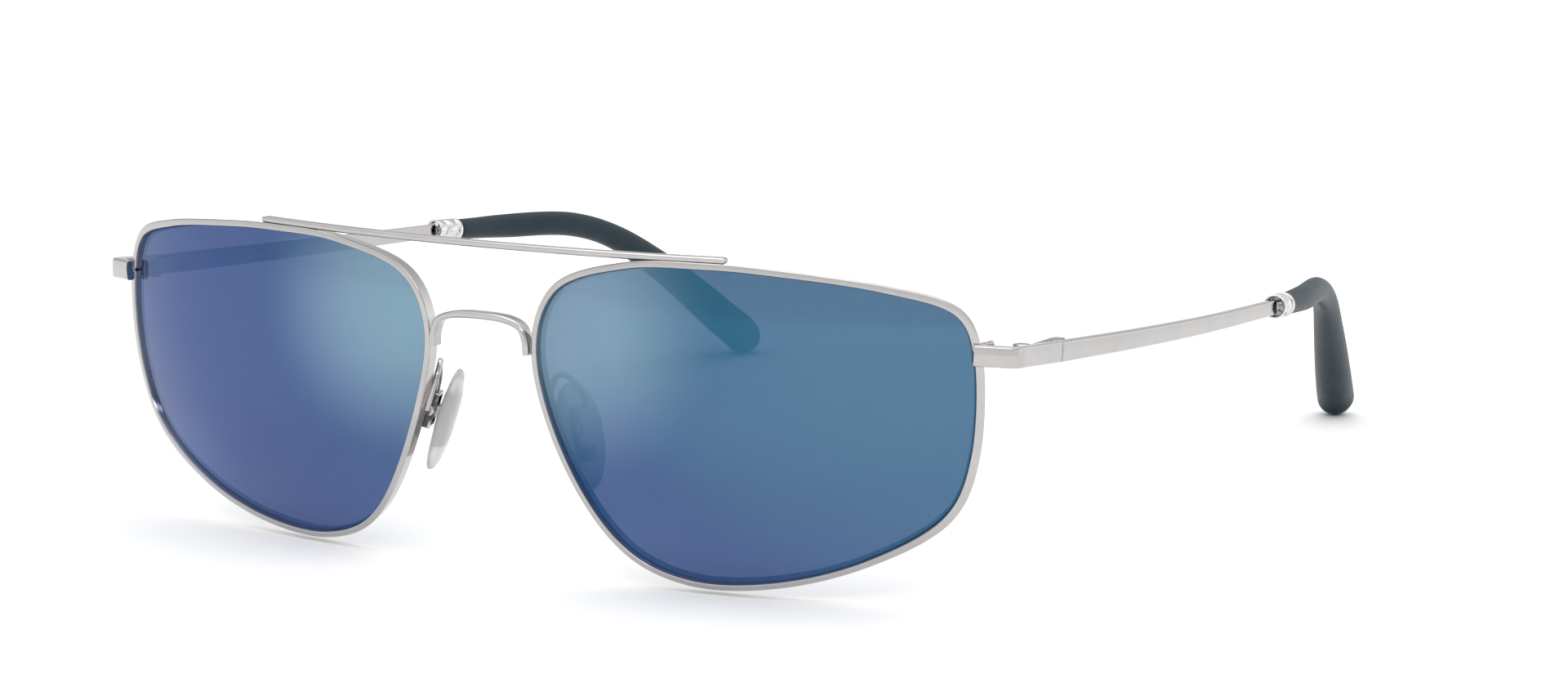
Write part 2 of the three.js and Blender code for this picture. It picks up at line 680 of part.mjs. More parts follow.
function makePad() {
  const stations = 15;
  const rings = Array.from({ length: stations }, (_, i) => {
    const along = -Math.cos((Math.PI * (i + 0.35)) / (stations - 0.3));
    const fullness = Math.sqrt(1 - along ** 2);
    const halfWidth = PAD_HALF_WIDTH * fullness * (1 + 0.1 * along);
    return oval(1, 1, 18).map((p) => vec(
      halfWidth * p.x,
      PAD_HALF_HEIGHT * along,
      fullness ** 0.8 * (p.y > 0 ? PAD_BACK : PAD_FACE) * p.y,
    ));
  });
  const body = loft(rings, false, oval(1, 1, 18));
  return cut(body, padCoreBody(GAP)).applyMatrix4(padMatrix());
}

// An open-fronted box that the core's boss sits in.
function makePadBox() {
  const { width, height, front, back, wall } = PAD_BOX;
  const depth = back - front;
  const middle = (front + back) / 2;
  const shell = box([width, height, depth], [0, BOX_MIDDLE, middle]);
  const room = box([width - 2 * wall, height - 2 * wall, depth], [0, BOX_MIDDLE, middle - 0.3]);
  return cut(shell, room, padScrewHole()).applyMatrix4(padMatrix());
}

function makePadScrew() {
  return slottedScrew(PAD_SCREW_RADIUS, PAD_HEAD_RADIUS, 0.35, PAD_BOX.width + 0.1, 0.15)
    .rotateY(-Math.PI / 2)
    .translate(-PAD_BOX.width / 2 - GAP, BOX_MIDDLE, SCREW_DEPTH)
    .applyMatrix4(padMatrix());
}

// A wire from the back of the rim, up, over and down to the box.
function makePadArm() {
  const boxTop = vec(0, BOX_MIDDLE + PAD_BOX.height / 2 + GAP, 2.15).applyMatrix4(padMatrix());
  const aboveBox = vec(0, BOX_MIDDLE + PAD_BOX.height / 2 + 1.6, 2.25).applyMatrix4(padMatrix());
  const path = new THREE.CatmullRomCurve3([
    vec(9.95, 3.3, -1.6), vec(9.45, 3.7, 0.6), vec(9.0, 4.6, 3.2),
    vec(9.3, 5.7, 4.5), vec(10.1, 6.8, 4.2), aboveBox, boxTop,
  ], false, 'centripetal');
  const steps = 22;
  let x = path.getTangentAt(0).cross(vec(1, 0, 0)).normalize();
  const frames = Array.from({ length: steps + 1 }, (_, i) => {
    const tangent = path.getTangentAt(i / steps);
    x = x.clone().addScaledVector(tangent, -x.dot(tangent)).normalize();
    return { origin: path.getPointAt(i / steps), x, y: tangent.clone().cross(x).normalize() };
  });
  return cut(sweep(oval(ARM_RADIUS, ARM_RADIUS, 8), frames), rimSpace());
}

// ---------- assembly ----------

function mirror(geometry) {
  return flip(weld(geometry).applyMatrix4(new THREE.Matrix4().makeScale(-1, 1, 1)));
}

function sides(geometry) {
  return [geometry, mirror(geometry)];
}

const pairs = {
  rim: [makeRim, satinSilver],
  lens: [makeLens, mirrorBlue],
  end_piece: [makeEndPiece, satinSilver],
  rim_lock_upper: [makeLockUpper, satinSilver],
  rim_lock_lower: [makeLockLower, satinSilver],
  rim_lock_screw: [makeLockScrew, screwSteel],
  hinge_front_leaf: [makeFrontLeaf, hingeSteel],
  hinge_rear_leaf: [makeRearLeaf, hingeSteel],
  hinge_screw: [makeHingeScrew, screwSteel],
  temple_bar: [makeTempleBar, satinSilver],
  collar_ring: [makeCollarRing, polishedSilver],
  tip_ferrule: [makeFerrule, polishedSilver],
  temple_tip: [makeTip, slateRubber],
  pad_arm: [makePadArm, satinSilver],
  pad_box: [makePadBox, satinSilver],
  pad_core: [makePadCore, hingeSteel],
  pad_screw: [makePadScrew, screwSteel],
  nose_pad: [makePad, clearSilicone],
};

function piece(name, geometry, material) {
  const mesh = new THREE.Mesh(geometry, material);
  mesh.name = name;
  return mesh;
}

const glasses = new THREE.Group();
glasses.add(piece('brow_bar', makeBrowBar(), satinSilver));
glasses.add(piece('nose_bridge', makeBridge(), satinSilver));
for (const [name, [make, material]] of Object.entries(pairs)) {
  const [left, right] = sides(make());
  glasses.add(piece(`${name}_left`, left, material));
  glasses.add(piece(`${name}_right`, right, material));
}

// Stand the glasses on the rims and tips, with the origin under their middle.
const bounds = new THREE.Box3().setFromObject(glasses, true);
glasses.position.set(0, -(bounds.min.y + bounds.max.y) / 2, -bounds.min.z);

const assembly = new THREE.Group();
assembly.add(glasses);

export default assembly;
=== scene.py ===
import json
import math

import bmesh
import bpy
from mathutils import Matrix, Vector


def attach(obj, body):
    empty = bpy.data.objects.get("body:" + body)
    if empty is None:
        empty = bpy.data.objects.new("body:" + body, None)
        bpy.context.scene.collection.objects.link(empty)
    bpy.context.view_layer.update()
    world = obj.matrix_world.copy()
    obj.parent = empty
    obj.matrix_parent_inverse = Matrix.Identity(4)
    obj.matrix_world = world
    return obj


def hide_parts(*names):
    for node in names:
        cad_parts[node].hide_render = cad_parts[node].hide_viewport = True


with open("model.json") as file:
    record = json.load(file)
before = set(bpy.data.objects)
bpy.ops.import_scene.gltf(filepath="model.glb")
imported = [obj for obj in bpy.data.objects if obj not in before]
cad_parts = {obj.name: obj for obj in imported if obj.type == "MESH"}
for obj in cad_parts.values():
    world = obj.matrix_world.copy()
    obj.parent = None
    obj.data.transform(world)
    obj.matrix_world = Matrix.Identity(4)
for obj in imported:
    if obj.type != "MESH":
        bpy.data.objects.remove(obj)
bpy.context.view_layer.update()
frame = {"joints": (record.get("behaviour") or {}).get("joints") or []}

# The pieces are laid out in millimetres from the middle of the front, level with the lens
# centres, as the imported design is, and moved into the frame's metres as each one is finished.
MM = 0.001

# ---------- driving dimensions, in millimetres ----------

GAP = 0.04  # clearance between soldered or seated faces
RUN_GAP = 0.06  # clearance round a screw or a moving knuckle
RIM_RADIUS = 81.15  # the rim's front edge lies on this sphere
LENS_SETBACK = 0.6
LENS_THICKNESS = 1.8
LENS_SPHERE = Vector((21.32, RIM_RADIUS, 8.99))
LENS_MIDDLE = (37.1, 0.0)
LENS_IOR = 1.15  # low, because the coat gives nearly all of the reflection
# The lens opening seen from the front, (x, z), from the closing block on. The points are the
# rounded result of a curve fit made outside this script, not a hand-made outline.
LENS_OUTLINE = [
    (65.3, 11.1), (63.3, 15.8), (55.2, 18.6), (41.3, 20.3), (32.8, 20.6),
    (22.2, 20.0), (11.7, 16.3), (8.6, 9.1), (12.9, -6.7), (20.2, -17.2),
    (28.1, -20.4), (39.6, -19.9), (51.9, -16.1), (61.5, -9.8), (64.8, -2.1),
]
RIM_STEPS = 420
RIM_WIDTH = 0.85
RIM_WIDENING = 0.3
RIM_DEPTH = 2.4
RIM_SPLIT = 0.12
GROOVE_DEPTH = 0.35
GROOVE_TOP = -0.9
GROOVE_BOTTOM = -1.7

BROW_HALF_SPAN = 35.7
BROW_BOW = 3.0
BROW_Y = 0.4
BROW_Z = 21.6
BROW_LIFT = 0.12
BROW_HEIGHT = 0.84
BROW_DEPTH = 1.4

BRIDGE_DEPTH = 1.9
BRIDGE_HEIGHT = 0.9
BRIDGE_Y = 1.5

STRIP_THICKNESS = 1.0
STRIP_HEIGHT = 2.7
END_PIECE_Z = 11.08
JOINT_Z = 9.72
JOINT_Y = 26.85
HINGE = Vector((67.85, 21.0, 10.15))
HINGE_RADIUS = 1.12
HINGE_HEIGHT = 2.4
HINGE_MIDDLE = 1.2
HINGE_SCREW_RADIUS = 0.5
HINGE_HEAD_RADIUS = 0.82
HINGE_SINK = 0.25  # depth of the recess round the hinge screw's head
LEAF_INNER = 69.05  # inner face of the front leaf's plate
LEAF_OUTER = 70.2 - STRIP_THICKNESS / 2 - GAP
FRONT_LEAF_Y = (18.2, 24.6)
ARM_OUTER = 68.97  # outer face of the rear leaf's arm
REAR_LEAF_OUTER = 69.55 - GAP  # the face soldered to the temple bar
REAR_LEAF_END = 29.8
REAR_LEAF_HEIGHT = 2.0
REAR_LEAF_DROP = 0.15  # the rear leaf's middle is this far below the hinge's
LOCK_SCREW_RADIUS = 0.42
LOCK_HEAD_RADIUS = 0.55
LOCK_SEAT = (0.62, 0.35)  # radius and depth of the recess for the screw's head
LOCK_SCREW_LENGTH = 1.35
LOCK_INNER = RIM_WIDTH * (1 + RIM_WIDENING) + GAP
LOCK_OUTER = 2.85
LOCK_REAR = 2.3
LOCK_HALF_HEIGHT = 0.9
LOCK_SCREW_AT = (2.0, 1.5)

BAR_END_Y = 92.9
BAR_THICKNESS = 1.2
BAR_HEIGHT = 2.75
BAR_TAPER = (0.08, 0.25)  # share of thickness and height lost at the rear
STUB = (0.8, 2.2, 1.3)  # neck between the bar and its core wire
CORE_RADIUS = 0.6
CORE_END_Y = 110  # out of sight inside the tip
RING_RADIUS = 1.65
RING_BORE = 1.38
RING_Y = (93.1, 94.2, 94.6)
FERRULE_Y = (94.65, 98.0)
FLANGE_RADIUS = 1.76
TIP_Y = 98.1
TIP_RADIUS = 1.6  # at the flange; it thickens towards the end
TIP_END_ROUND = 2.9

PAD_CENTRE = Vector((10.8, 8.63, -3.75))
PAD_SPLAY = math.radians(22)
PAD_LEAN = math.radians(18)
PAD_HALF_HEIGHT = 7.1
PAD_HALF_WIDTH = 3.5
PAD_FACE = 1.5
PAD_BACK = 0.9
BOX_MIDDLE = 0.8
SCREW_DEPTH = 1.9
PAD_SCREW_RADIUS = 0.4
PAD_HEAD_RADIUS = 0.62
PLATE = (3.0, 7.2, 0.5)  # the metal core's plate
PLATE_DEPTH = 0.1
BOSS_SIDE = 1.6
BOSS_END = SCREW_DEPTH + 0.35
PAD_BOX_SIZE = (3.0, 4.9, 1.4)
PAD_BOX_FRONT = 1.35
PAD_BOX_WALL = 0.35
ARM_RADIUS = 0.4

UP = Vector((0, 0, 1))
SHARP_ANGLE = 28  # degrees between two faces, from which their edge gets a small round


def joint_place(name):
    joint = next(j for j in frame["joints"] if j["name"] == name)
    return Vector(joint["pos_m"])


LAYOUT = joint_place("temple_left_fold") - HINGE * MM


# ---------- curves ----------

class Path:
    """A curve held as close points, read by its share of the length."""

    def __init__(self, points):
        self.points = points
        self.lengths = [0.0]
        for a, b in zip(points, points[1:]):
            self.lengths.append(self.lengths[-1] + (b - a).length)
        self.length = self.lengths[-1]

    def at(self, share):
        wanted = min(max(share, 0.0), 1.0) * self.length
        low, high = 0, len(self.points) - 1
        while high - low > 1:
            middle = (low + high) // 2
            if self.lengths[middle] <= wanted:
                low = middle
            else:
                high = middle
        span = self.lengths[high] - self.lengths[low]
        part = (wanted - self.lengths[low]) / span if span else 0.0
        return self.points[low].lerp(self.points[high], part)

    def tangent(self, share):
        step = 0.002
        low, high = max(0.0, share - step), min(1.0, share + step)
        return (self.at(high) - self.at(low)).normalized()


def smooth_points(knots, closed=False, per_span=80):
    """Close points on a centripetal Catmull-Rom curve through the knots."""
    count = len(knots)

    def knot(i):
        if closed:
            return knots[i % count]
        if i < 0:
            return knots[0] * 2 - knots[1]
        if i >= count:
            return knots[-1] * 2 - knots[-2]
        return knots[i]

    points = []
    for i in range(count if closed else count - 1):
        p0, p1, p2, p3 = (knot(i + k) for k in (-1, 0, 1, 2))
        d0, d1, d2 = ((b - a).length ** 0.5 for a, b in ((p0, p1), (p1, p2), (p2, p3)))
        t1 = ((p1 - p0) / d0 - (p2 - p0) / (d0 + d1) + (p2 - p1) / d1) * d1
        t2 = ((p2 - p1) / d1 - (p3 - p1) / (d1 + d2) + (p3 - p2) / d2) * d1
        c2 = (p2 - p1) * 3 - t1 * 2 - t2
        c3 = (p1 - p2) * 2 + t1 + t2
        for k in range(per_span):
            t = k / per_span
            points.append(p1 + t1 * t + c2 * t * t + c3 * t * t * t)
    points.append(knots[0].copy() if closed else knots[-1].copy())
    return points


def vectors(*triples):
    return [Vector(t) for t in triples]


def smoothstep(x, low, high):
    t = min(max((x - low) / (high - low), 0.0), 1.0)
    return t * t * (3 - 2 * t)


def upright_frame(path, share, scale=(1.0, 1.0)):
    """(origin, sideways, up, scales) of an upright section of the path."""
    tangent = path.tangent(share)
    side = tangent.cross(UP).normalized()
    return path.at(share), side, side.cross(tangent).normalized(), scale


# ---------- profiles ----------

def oval(half_width, half_height, sides):
    turns = (2 * math.pi * i / sides for i in range(sides))
    return [(half_width * math.cos(a), half_height * math.sin(a)) for a in turns]


def rounded(points, radius, steps=4):
    """A polygon with each corner turned into a short arc."""
    corners = [Vector(p) for p in points]
    made = []
    for i, corner in enumerate(corners):
        before, after = corners[i - 1] - corner, corners[(i + 1) % len(corners)] - corner
        reach = min(radius, before.length * 0.45, after.length * 0.45)
        start = corner + before.normalized() * reach
        end = corner + after.normalized() * reach
        for k in range(steps + 1):
            t = k / steps
            made.append(start * (1 - t) ** 2 + corner * 2 * t * (1 - t) + end * t * t)
    return [(p.x, p.y) for p in made]


def chamfered(width, height, chamfer):
    w, h = width / 2, height / 2
    return [
        (w - chamfer, -h), (w, chamfer - h), (w, h - chamfer), (w - chamfer, h),
        (chamfer - w, h), (-w, h - chamfer), (-w, chamfer - h), (chamfer - w, -h),
    ]


def strip_profile(thickness, height):
    """The strip's outer face has a ridge a little above its middle."""
    w, h = thickness / 2, height / 2
    return [
        (-w, -h), (w * 0.5, -h), (w * 0.86, 0.2 - h), (w, h * 0.12),
        (w * 0.8, h - 0.22), (w * 0.5, h), (-w, h),
    ]


# ---------- mesh building ----------

def mesh_object(name, points, faces):
    mesh = bpy.data.meshes.new(name)
    mesh.from_pydata([tuple(p) for p in points], [], faces)
    made = bpy.data.objects.new(name, mesh)
    bpy.context.scene.collection.objects.link(made)
    tidy(made)
    return made


def tidy(made, flatten=False):
    """Welds the points, turns the faces outwards and, on flat work, clears stray edges."""
    work = bmesh.new()
    work.from_mesh(made.data)
    bmesh.ops.remove_doubles(work, verts=work.verts, dist=1e-4)
    if flatten:
        bmesh.ops.dissolve_limit(
            work, angle_limit=math.radians(0.5), verts=work.verts, edges=work.edges
        )
    bmesh.ops.recalc_face_normals(work, faces=work.faces)
    work.to_mesh(made.data)
    work.free()


def loft(name, rings):
    """A closed skin over rings of equally many points, with both ends filled."""
    count = len(rings[0])
    points = [p for ring in rings for p in ring]
    faces = []
    for i in range(len(rings) - 1):
        here, following = i * count, (i + 1) * count
        for j in range(count):
            k = (j + 1) % count
            faces.append((here + j, here + k, following + k, following + j))
    faces.append(tuple(range(count))[::-1])
    faces.append(tuple(range((len(rings) - 1) * count, len(rings) * count)))
    return mesh_object(name, points, faces)


def section(profile, origin, x, y, scale=(1.0, 1.0)):
    return [origin + x * (px * scale[0]) + y * (py * scale[1]) for px, py in profile]


def sweep(name, profile, frames):
    return loft(name, [section(profile, *f) for f in frames])


def eased_ends(frames, reach=0.12, steps=3):
    """Adds short shrinking sections so that a sweep's two ends are softly broken."""
    def easing(end, inner):
        origin, x, y, scale = end
        inward = (inner[0] - origin).normalized()
        made = []
        for k in range(steps):
            t = k / steps
            shrink = 1 - reach * (1 - math.sin(t * math.pi / 2))
            made.append((origin + inward * reach * (1 - math.cos(t * math.pi / 2)) * 0.9,
                         x, y, (scale[0] * shrink, scale[1] * shrink)))
        origin_inside = origin + inward * reach
        return made + [(origin_inside, x, y, scale)]

    first = easing(frames[0], frames[1])
    last = easing(frames[-1], frames[-2])[::-1]
    return first + frames[1:-1] + last


def box(size, centre):
    x, y, z = (s / 2 for s in size)
    points = [Vector(centre) + Vector((a * x, b * y, c * z))
              for a in (-1, 1) for b in (-1, 1) for c in (-1, 1)]
    faces = [(0, 1, 3, 2), (4, 6, 7, 5), (0, 4, 5, 1), (2, 3, 7, 6), (0, 2, 6, 4), (1, 5, 7, 3)]
    return mesh_object("block", points, faces)


def post(radius, low, high, at=(0, 0), sides=48):
    ring = [Vector((at[0] + x, at[1] + y, 0)) for x, y in oval(radius, radius, sides)]
    return loft("post", [[p + UP * low for p in ring], [p + UP * high for p in ring]])


def lathe(profile, sides=64):
    """Turns (radius, height) points round Z. The ends that lie on the axis close it."""
    rings = [[Vector((x, y, z)) for x, y in oval(max(r, 1e-5), max(r, 1e-5), sides)]
             for r, z in profile]
    return loft("turning", rings)


def moved(made, matrix):
    made.data.transform(matrix)
    return made


def baked(made):
    """Applies the modifiers that the object carries."""
    depsgraph = bpy.context.evaluated_depsgraph_get()
    mesh = bpy.data.meshes.new_from_object(made.evaluated_get(depsgraph))
    made.modifiers.clear()
    made.data = mesh
    return made


def combined(operation, body, tools):
    for tool in tools:
        modifier = body.modifiers.new("join", "BOOLEAN")
        modifier.operation = operation
        modifier.solver = "EXACT"
        modifier.object = tool
    baked(body)
    for tool in tools:
        bpy.data.objects.remove(tool)
    tidy(body, flatten=True)
    return body


def cut(body, *tools):
    return combined("DIFFERENCE", body, tools)


def join(body, *others):
    return combined("UNION", body, others)


def eased(made, width, steps=3):
    """Breaks every sharp edge with a small round."""
    modifier = made.modifiers.new("ease", "BEVEL")
    modifier.width = width
    modifier.segments = steps
    modifier.limit_method = "ANGLE"
    modifier.angle_limit = math.radians(SHARP_ANGLE)
    modifier.use_clamp_overlap = True
    return baked(made)


def finish(made, name, body, node, look, flat_weight=True):
    """Moves a piece into the frame, shades it and says what it stands for."""
    made.name = name
    made.data.name = name
    made.data.transform(Matrix.Translation(LAYOUT) @ Matrix.Scale(MM, 4))
    made.data.shade_smooth()
    if flat_weight:
        modifier = made.modifiers.new("weight", "WEIGHTED_NORMAL")
        modifier.weight = 80
        baked(made)
    made.data.materials.clear()
    for item in look if isinstance(look, (list, tuple)) else [look]:
        made.data.materials.append(item)
    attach(made, body)
    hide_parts(node)
    return made


def mirrored(made):
    other = made.copy()
    other.data = made.data.copy()
    bpy.context.scene.collection.objects.link(other)
    other.data.transform(Matrix.Scale(-1, 4, Vector((1, 0, 0))))
    other.data.flip_normals()
    return other


def pair(made, part, node, look, body="front", flat_weight=True):
    """Finishes the left piece and its mirror image on the right."""
    other = mirrored(made)
    for item, side in ((made, "left"), (other, "right")):
        riding = body if body == "front" else f"{body}_{side}"
        finish(item, f"{side}_{part}", riding, f"{node}_{side}", look, flat_weight)


# ---------- materials ----------

class Graph:
    """A node tree with a few shorthands."""

    def __init__(self, tree):
        self.tree = tree

    def node(self, kind, **settings):
        made = self.tree.nodes.new(kind)
        for key, value in settings.items():
            setattr(made, key, value)
        return made

    def link(self, source, target):
        self.tree.links.new(source, target)

    def maths(self, operation, *terms):
        made = self.node("ShaderNodeMath", operation=operation)
        for socket, term in zip(made.inputs, terms):
            if isinstance(term, (int, float)):
                socket.default_value = term
            else:
                self.link(term, socket)
        return made.outputs[0]

    def ramp(self, source, *stops):
        made = self.node("ShaderNodeValToRGB")
        elements = made.color_ramp.elements
        while len(elements) < len(stops):
            elements.new(0.5)
        for element, (position, colour) in zip(elements, stops):
            element.position = position
            element.color = (*colour, 1)
        self.link(source, made.inputs["Fac"])
        return made.outputs["Color"]


class Look(Graph):
    """A node material on the object's own coordinates."""

    def __init__(self, name):
        self.material = bpy.data.materials.new(name)
        self.material.use_nodes = True
        super().__init__(self.material.node_tree)
        self.shader = self.tree.nodes["Principled BSDF"]
        self.place = self.node("ShaderNodeTexCoord").outputs["Object"]

    def set(self, **values):
        for key, value in values.items():
            self.shader.inputs[key.replace("_", " ")].default_value = value

    def noise(self, scale, detail):
        made = self.node("ShaderNodeTexNoise")
        made.inputs["Scale"].default_value = scale
        made.inputs["Detail"].default_value = detail
        self.link(self.place, made.inputs["Vector"])
        return made.outputs["Fac"]

    def spread(self, source, low, high):
        """Stretches the middle part of a noise to run from low to high."""
        made = self.node("ShaderNodeMapRange")
        made.inputs["From Min"].default_value = 0.3
        made.inputs["From Max"].default_value = 0.7
        made.inputs["To Min"].default_value = low
        made.inputs["To Max"].default_value = high
        self.link(source, made.inputs["Value"])
        return made.outputs["Result"]

    def fade(self, source, near, far):
        """One up to the near value, falling smoothly to nothing at the far one."""
        made = self.node("ShaderNodeMapRange", interpolation_type="SMOOTHSTEP")
        made.inputs["From Min"].default_value = near
        made.inputs["From Max"].default_value = far
        made.inputs["To Min"].default_value = 1.0
        made.inputs["To Max"].default_value = 0.0
        self.link(source, made.inputs["Value"])
        return made.outputs["Result"]

    def added(self, base, colour, share):
        made = self.node("ShaderNodeMix", data_type="RGBA", blend_type="ADD")
        self.link(share, made.inputs["Factor"])
        self.link(base, made.inputs["A"])
        made.inputs["B"].default_value = (*colour, 1)
        return made.outputs["Result"]

    def bump(self, height, strength, distance):
        made = self.node("ShaderNodeBump")
        made.inputs["Strength"].default_value = strength
        made.inputs["Distance"].default_value = distance
        self.link(height, made.inputs["Height"])
        self.link(made.outputs["Normal"], self.shader.inputs["Normal"])


def metal(name, dark, light, smooth, rough, grain, grain_depth):
    """Bare metal with cloudy tone, fine grain and slightly uneven polish."""
    look = Look(name)
    look.set(Metallic=1.0)
    cloud = look.noise(220, 4)
    look.link(look.ramp(cloud, (0.35, dark), (0.65, light)), look.shader.inputs["Base Color"])
    wear = look.noise(900, 5)
    look.link(look.spread(wear, smooth, rough), look.shader.inputs["Roughness"])
    look.bump(look.noise(grain, 3), grain_depth, 0.00002)
    return look.material


def mirror_lens():
    """A blue mirror coat over tinted plastic. It turns from blue green to violet blue as it is
    seen more aslant. A painted reflection makes it paler near the nose, and painted light makes it
    a little lighter at its foot."""
    look = Look("blue_mirror_coat")
    slant = look.node("ShaderNodeLayerWeight")
    coat = look.ramp(
        slant.outputs["Facing"], (0.03, (0.052, 0.21, 0.32)), (0.1, (0.045, 0.185, 0.315)),
        (0.15, (0.035, 0.16, 0.31)), (0.2, (0.03, 0.125, 0.31)), (0.4, (0.036, 0.105, 0.295)),
    )
    parts = look.node("ShaderNodeSeparateXYZ")
    look.link(look.place, parts.inputs["Vector"])
    flat = look.node("ShaderNodeCombineXYZ")
    look.link(look.maths("ABSOLUTE", parts.outputs["X"]), flat.inputs["X"])
    look.link(parts.outputs["Z"], flat.inputs["Z"])
    # Painted reflection: a pale blue-green patch round a point high on each lens near the nose,
    # added to the coat's colour.
    reach = look.node("ShaderNodeVectorMath", operation="DISTANCE")
    look.link(flat.outputs[0], reach.inputs[0])
    reach.inputs[1].default_value = (0.014, 0, LAYOUT.z + 0.012)
    painted_nose_reflection = look.fade(reach.outputs["Value"], 0.004, 0.022)
    # Painted light: the coat's colour is lifted lighter towards the foot of the lens.
    painted_foot_lift = look.fade(parts.outputs["Z"], 0.001, 0.017)
    # The coat's colour gets the painted reflection near the nose, then the painted light at the
    # foot.
    tone = look.added(coat, (0.21, 0.29, 0.22), painted_nose_reflection)
    tone = look.added(tone, (0.045, 0.065, 0.13), painted_foot_lift)
    look.link(tone, look.shader.inputs["Base Color"])
    look.set(Metallic=1.0)
    look.link(look.spread(look.noise(60, 4), 0.015, 0.04), look.shader.inputs["Roughness"])
    film = look.node("ShaderNodeBsdfPrincipled")
    film.inputs["Base Color"].default_value = (0.21, 0.2, 0.32, 1)
    film.inputs["Transmission Weight"].default_value = 1.0
    film.inputs["Roughness"].default_value = 0.0
    film.inputs["IOR"].default_value = LENS_IOR
    blend = look.node("ShaderNodeMixShader")
    blend.inputs["Fac"].default_value = 0.5
    look.link(film.outputs["BSDF"], blend.inputs[1])
    look.link(look.shader.outputs["BSDF"], blend.inputs[2])
    look.link(blend.outputs["Shader"], look.tree.nodes["Material Output"].inputs["Surface"])
    return look.material


def lens_plastic():
    """The tinted back and edge of the lens."""
    look = Look("lens_plastic")
    look.set(Transmission_Weight=1.0, IOR=LENS_IOR)
    tint = look.ramp(look.noise(40, 2), (0.4, (0.80, 0.84, 0.90)), (0.6, (0.82, 0.86, 0.91)))
    look.link(tint, look.shader.inputs["Base Color"])
    look.link(look.spread(look.noise(80, 3), 0.0, 0.02), look.shader.inputs["Roughness"])
    return look.material


def silicone():
    look = Look("clear_silicone")
    look.set(Transmission_Weight=0.6, IOR=1.42)
    tone = look.ramp(look.noise(160, 3), (0.35, (0.78, 0.765, 0.75)), (0.65, (0.83, 0.82, 0.81)))
    look.link(tone, look.shader.inputs["Base Color"])
    look.link(look.spread(look.noise(500, 3), 0.1, 0.2), look.shader.inputs["Roughness"])
    look.bump(look.noise(700, 2), 0.15, 0.00003)
    return look.material


def rubber():
    look = Look("slate_rubber")
    tone = look.ramp(
        look.noise(420, 6), (0.3, (0.012, 0.024, 0.033)), (0.7, (0.016, 0.030, 0.040))
    )
    look.link(tone, look.shader.inputs["Base Color"])
    look.link(look.spread(look.noise(1500, 5), 0.38, 0.46), look.shader.inputs["Roughness"])
    look.set(Specular_IOR_Level=0.18)
    look.bump(look.noise(5000, 2), 0.06, 0.00002)
    return look.material


SATIN = metal("satin_nickel", (0.45, 0.437, 0.43), (0.48, 0.467, 0.46), 0.07, 0.12, 9000, 0.03)
POLISHED = metal("polished_nickel", (0.62, 0.61, 0.61), (0.65, 0.64, 0.64), 0.05, 0.09, 4000, 0.02)
MILLED = metal("milled_nickel", (0.36, 0.35, 0.345), (0.44, 0.43, 0.42), 0.26, 0.36, 6000, 0.15)
TURNED = metal("turned_steel", (0.50, 0.49, 0.48), (0.58, 0.57, 0.56), 0.16, 0.24, 7000, 0.08)
COAT = mirror_lens()
PLASTIC = lens_plastic()
SILICONE = silicone()
RUBBER = rubber()


# ---------- rims and lenses ----------

OUTLINE = Path(smooth_points([Vector((x, 0, z)) for x, z in LENS_OUTLINE], closed=True))


def on_rim_front(point):
    drop = RIM_RADIUS ** 2 - (point.x - LENS_SPHERE.x) ** 2 - (point.z - LENS_SPHERE.z) ** 2
    return Vector((point.x, LENS_SPHERE.y - math.sqrt(drop), point.z))


def to_radius(point, radius):
    return (point - LENS_SPHERE).normalized() * radius + LENS_SPHERE


def rim_frame(share):
    """A section of the rim: x away from the lens, y forwards, wider towards the temple."""
    step = 0.002
    origin = on_rim_front(OUTLINE.at(share % 1))
    ahead = on_rim_front(OUTLINE.at((share + step) % 1))
    behind = on_rim_front(OUTLINE.at((share - step) % 1))
    tangent = (ahead - behind).normalized()
    x = tangent.cross(origin - LENS_SPHERE).normalized()
    widening = 1 + RIM_WIDENING * smoothstep(origin.x, 48, 64)
    return origin, x, x.cross(tangent).normalized(), (widening, 1.0)


OPENING = [rim_frame(i / RIM_STEPS) for i in range(RIM_STEPS)]


def make_rims():
    bevel = 0.12
    outer = RIM_WIDTH
    profile = rounded([
        (bevel, 0), (outer - bevel, 0), (outer, -bevel), (outer, bevel - RIM_DEPTH),
        (outer - bevel, -RIM_DEPTH), (0, -RIM_DEPTH), (0, GROOVE_BOTTOM),
        (GROOVE_DEPTH, (GROOVE_TOP + GROOVE_BOTTOM) / 2), (0, GROOVE_TOP), (0, -bevel),
    ], 0.05, 3)
    start = RIM_SPLIT / 2 / OUTLINE.length
    frames = [rim_frame(start), *OPENING[1:], rim_frame(1 - start)]
    pair(sweep("rim", profile, frames), "rim", "rim", SATIN)


